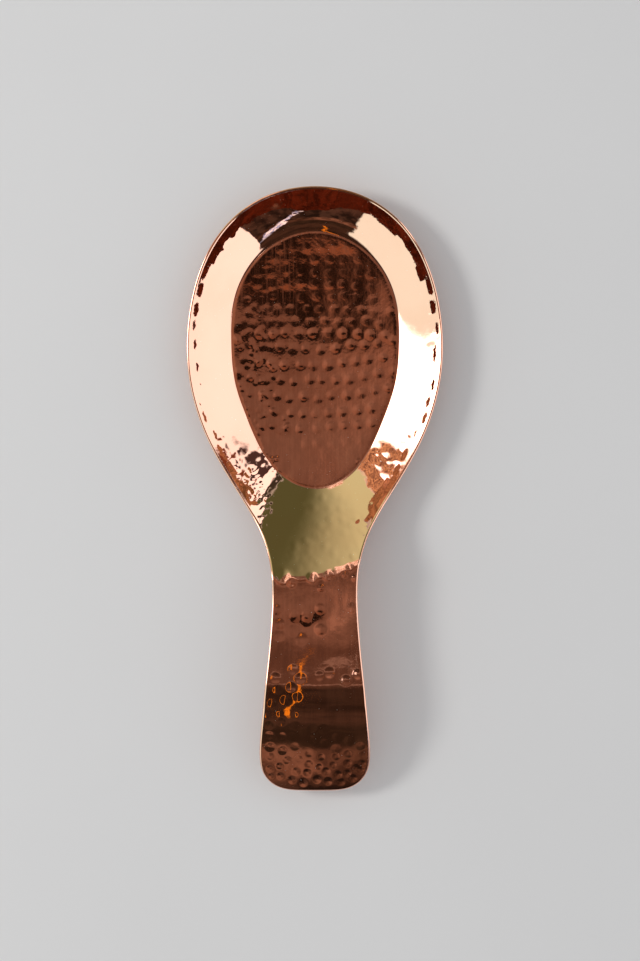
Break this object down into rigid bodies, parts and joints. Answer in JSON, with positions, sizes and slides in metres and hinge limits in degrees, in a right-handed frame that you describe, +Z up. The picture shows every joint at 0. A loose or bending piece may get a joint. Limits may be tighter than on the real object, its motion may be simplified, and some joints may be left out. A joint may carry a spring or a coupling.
{
  "type": "spoon rest",
  "caption": "One-piece hammered copper spoon rest: a shallow egg-shaped bowl with a flat floor, a sloping neck and a bowed, flared handle.",
  "frame": {"origin": "on the underside of the flat floor (the table plane), in the plane of symmetry, near the widest part of the bowl", "axes": "+Z up out of the bowl, -Y along the handle towards its tip, +X to the right with the handle pointing at the viewer"},
  "size_m": [0.1054, 0.2488, 0.0301],
  "materials": {
    "hammered_copper": "hammered and polished copper"
  },
  "bodies": {
    "root": {"spoon_rest_body": "hammered_copper"}
  },
  "joints": []
}
